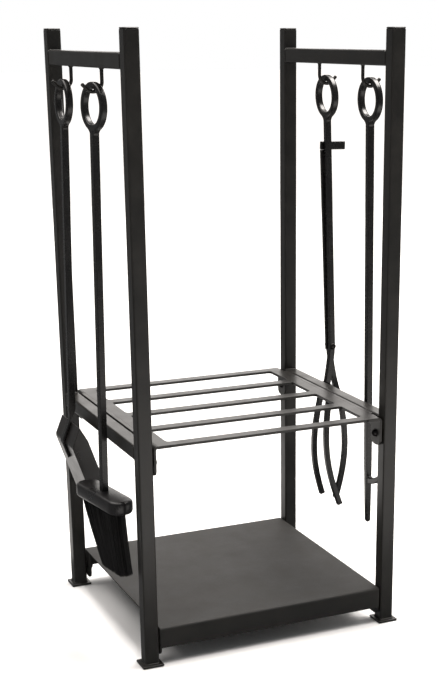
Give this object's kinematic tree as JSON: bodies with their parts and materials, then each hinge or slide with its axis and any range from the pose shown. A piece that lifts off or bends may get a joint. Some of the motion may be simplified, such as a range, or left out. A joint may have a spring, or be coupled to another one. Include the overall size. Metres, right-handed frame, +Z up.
{
  "type": "firewood log rack",
  "caption": "Upright steel log rack with a grate, a lower shelf and ring-handled brush, shovel, poker and tongs hanging from hooks on both sides",
  "frame": {"origin": "centre of the underside of the whole object's bounding box, on the floor", "axes": "+X towards the tongs and poker side (right), +Y towards the back, +Z up; the open front faces -Y"},
  "size_m": [0.469, 0.356, 0.826],
  "materials": {
    "frame_steel": "satin black powder coat on square steel tube and sheet",
    "tool_steel": "semi-gloss black powder coat on square steel bar",
    "fastener": "black-plated round-headed fasteners",
    "moulding": "satin black moulded brush head",
    "bristle": "dense black synthetic bristles"
  },
  "bodies": {
    "rack": {"foot_plate_back_left": "frame_steel", "foot_plate_back_right": "frame_steel", "foot_plate_front_left": "frame_steel", "foot_plate_front_right": "frame_steel", "grate_bar_1": "frame_steel", "grate_bar_2": "frame_steel", "grate_bar_3": "frame_steel", "grate_bar_4": "frame_steel", "grate_bar_5": "frame_steel", "grate_bolt_back_left": "fastener", "grate_bolt_back_right": "fastener", "grate_bolt_front_left": "fastener", "grate_bolt_front_right": "fastener", "grate_side_left": "frame_steel", "grate_side_right": "frame_steel", "hook_back_left": "frame_steel", "hook_back_right": "frame_steel", "hook_front_left": "frame_steel", "hook_front_right": "frame_steel", "middle_rail_left": "frame_steel", "middle_rail_right": "frame_steel", "post_back_left": "frame_steel", "post_back_right": "frame_steel", "post_cap_back_left": "frame_steel", "post_cap_back_right": "frame_steel", "post_cap_front_left": "frame_steel", "post_cap_front_right": "frame_steel", "post_front_left": "frame_steel", "post_front_right": "frame_steel", "shelf_bolt_back_left": "fastener", "shelf_bolt_back_right": "fastener", "shelf_bolt_front_left": "fastener", "shelf_bolt_front_right": "fastener", "shelf_panel": "frame_steel", "top_rail_left": "frame_steel", "top_rail_right": "frame_steel"},
    "brush": {"brush_bristles": "bristle", "brush_head": "moulding", "brush_ring": "tool_steel", "brush_shaft": "tool_steel"},
    "shovel": {"shovel_pan": "tool_steel", "shovel_ring": "tool_steel", "shovel_shaft": "tool_steel"},
    "poker": {"poker_barb": "tool_steel", "poker_ring": "tool_steel", "poker_shaft": "tool_steel"},
    "tongs": {"tongs_fork": "tool_steel", "tongs_ring": "tool_steel", "tongs_rivet": "fastener", "tongs_shaft": "tool_steel"},
    "tongs_arm": {"tongs_arm": "tool_steel", "tongs_lever": "tool_steel"}
  },
  "joints": [
    {"name": "brush_lift_off", "type": "slide", "parent": "rack", "child": "brush", "axis": [-0.7071, 0, 0.7071], "range_m": [0, 0.045]},
    {"name": "shovel_lift_off", "type": "slide", "parent": "rack", "child": "shovel", "axis": [-0.7071, 0, 0.7071], "range_m": [0, 0.045]},
    {"name": "poker_lift_off", "type": "slide", "parent": "rack", "child": "poker", "axis": [0.7071, 0, 0.7071], "range_m": [0, 0.045]},
    {"name": "tongs_lift_off", "type": "slide", "parent": "rack", "child": "tongs", "axis": [0.7071, 0, 0.7071], "range_m": [0, 0.045]},
    {"name": "tongs_open", "type": "hinge", "parent": "tongs", "child": "tongs_arm", "pos_m": [0.20574, 0.07015, 0.36023], "axis": [0, -1, 0], "range_deg": [0, 12]}
  ]
}
